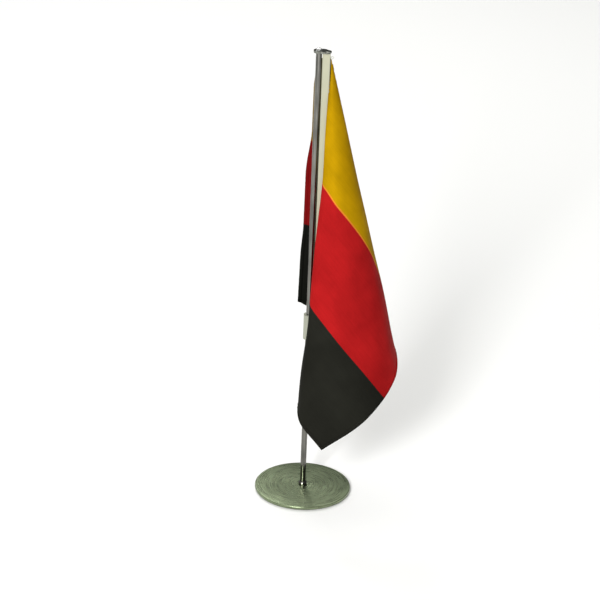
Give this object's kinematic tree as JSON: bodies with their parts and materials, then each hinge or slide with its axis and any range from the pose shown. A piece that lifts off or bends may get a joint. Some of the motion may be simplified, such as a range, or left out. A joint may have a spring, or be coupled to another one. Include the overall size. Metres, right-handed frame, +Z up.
{
  "type": "desk flag stand",
  "caption": "Small desk flag stand: a brushed weighted disc, a slim chromed pole, and a drooping three-stripe satin flag on a swivelling header.",
  "frame": {"origin": "centre of the base disc on the surface it stands on", "axes": "+Z up along the pole, +X the side the flag hangs on, -Y the front"},
  "size_m": [0.085, 0.065, 0.2896],
  "materials": {
    "brushed_cover": "circular brushed",
    "ballast_steel": "raw",
    "felt": "felt",
    "brass_insert": "turned",
    "plain_steel": "satin",
    "chrome_pole": "polished",
    "dark_chrome": "polished, smoked",
    "nylon": "natural",
    "header_cream": "satin cream",
    "clip_grey": "moulded",
    "cord_white": "braided",
    "satin": "printed satin in three stripes"
  },
  "bodies": {
    "base": {"base_shell": "brushed_cover", "base_ballast": "ballast_steel", "base_pad": "felt", "base_insert": "brass_insert"},
    "pole": {"foot_stud": "plain_steel", "foot_collar": "chrome_pole", "pole_tube": "chrome_pole", "top_plug": "brass_insert", "swivel_washer": "nylon"},
    "cap": {"dome_screw": "chrome_pole"},
    "flag": {"hanger_plate": "dark_chrome", "header_batten": "header_cream", "header_backing": "header_cream", "header_rivets": "plain_steel", "upper_rivet": "plain_steel", "lower_clip": "clip_grey", "clip_rivet": "plain_steel", "hoist_cord": "cord_white", "flag_cloth": "satin"}
  },
  "joints": [
    {"name": "pole_turn", "type": "hinge", "parent": "base", "child": "pole", "pos_m": [0, 0, 0.0026], "axis": [0, 0, 1], "continuous": true},
    {"name": "cap_turn", "type": "hinge", "parent": "pole", "child": "cap", "pos_m": [0, 0, 0.2865], "axis": [0, 0, 1], "continuous": true},
    {"name": "flag_swivel", "type": "hinge", "parent": "pole", "child": "flag", "pos_m": [0, 0, 0.2865], "axis": [0, 0, 1], "continuous": true}
  ]
}
